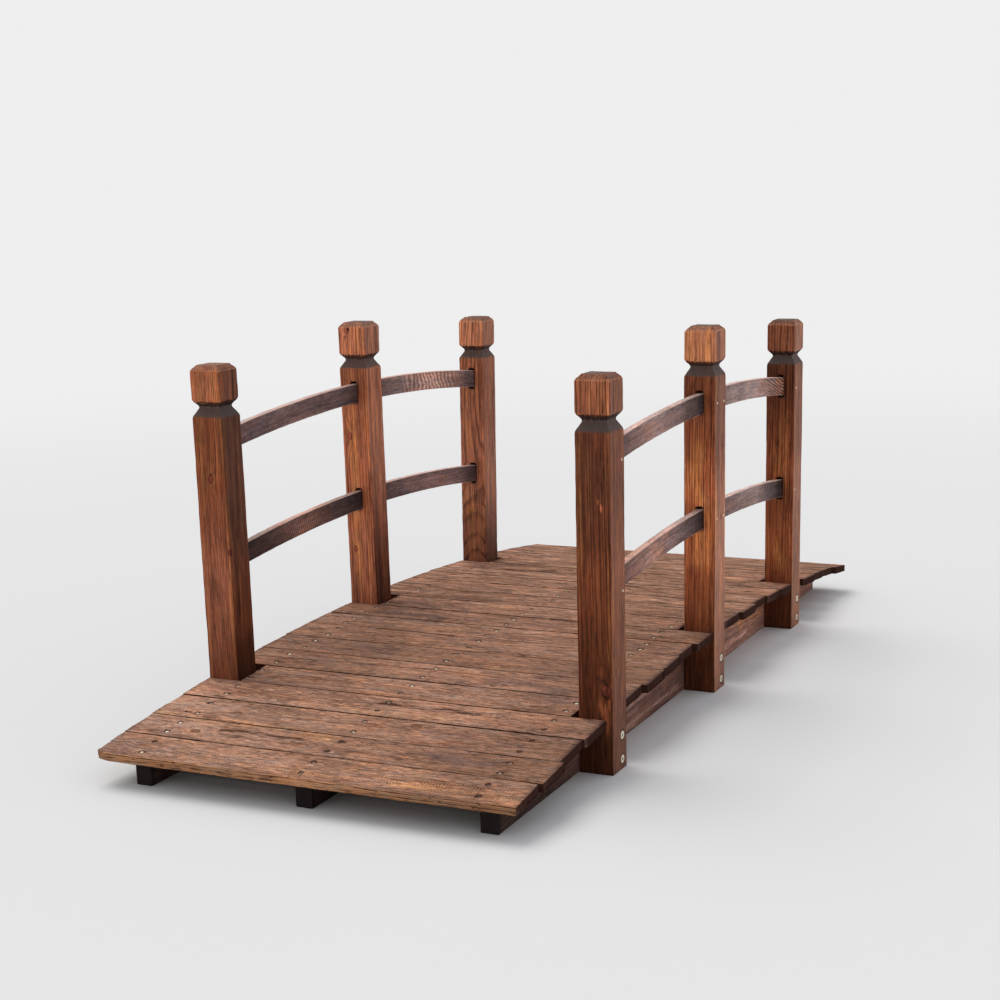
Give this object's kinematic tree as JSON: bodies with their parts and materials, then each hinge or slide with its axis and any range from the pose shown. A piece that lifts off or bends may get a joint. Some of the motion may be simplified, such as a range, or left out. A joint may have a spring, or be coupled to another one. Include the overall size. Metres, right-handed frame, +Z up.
{
  "type": "wooden footbridge",
  "caption": "Small arched garden footbridge: plank deck on arched stringers, necked square posts and curved two-tier side rails.",
  "frame": {"origin": "centre of the footprint at ground level", "axes": "+X along the walkway away from the picture's near end, +Y toward the picture's left side, +Z up"},
  "size_m": [1.5198, 0.676, 0.5825],
  "materials": {
    "stringer_wood": "rough sawn, dark stained",
    "deck_wood": "scorched and brushed, matt",
    "post_wood": "scorched and oiled, satin",
    "rail_wood": "rough sawn, matt"
  },
  "bodies": {
    "root": {"stringer_left": "stringer_wood", "stringer_middle": "stringer_wood", "stringer_right": "stringer_wood", "deck_board_01": "deck_wood", "deck_board_02": "deck_wood", "deck_board_03": "deck_wood", "deck_board_04": "deck_wood", "deck_board_05": "deck_wood", "deck_board_06": "deck_wood", "deck_board_07": "deck_wood", "deck_board_08": "deck_wood", "deck_board_09": "deck_wood", "deck_board_10": "deck_wood", "deck_board_11": "deck_wood", "deck_board_12": "deck_wood", "deck_board_13": "deck_wood", "deck_board_14": "deck_wood", "deck_board_15": "deck_wood", "deck_board_16": "deck_wood", "deck_board_17": "deck_wood", "deck_board_18": "deck_wood", "deck_board_19": "deck_wood", "deck_board_20": "deck_wood", "deck_board_21": "deck_wood", "post_left_front": "post_wood", "post_left_middle": "post_wood", "post_left_back": "post_wood", "post_right_front": "post_wood", "post_right_middle": "post_wood", "post_right_back": "post_wood", "rail_upper_left_front": "rail_wood", "rail_upper_left_back": "rail_wood", "rail_upper_right_front": "rail_wood", "rail_upper_right_back": "rail_wood", "rail_lower_left_front": "rail_wood", "rail_lower_left_back": "rail_wood", "rail_lower_right_front": "rail_wood", "rail_lower_right_back": "rail_wood"}
  },
  "joints": []
}
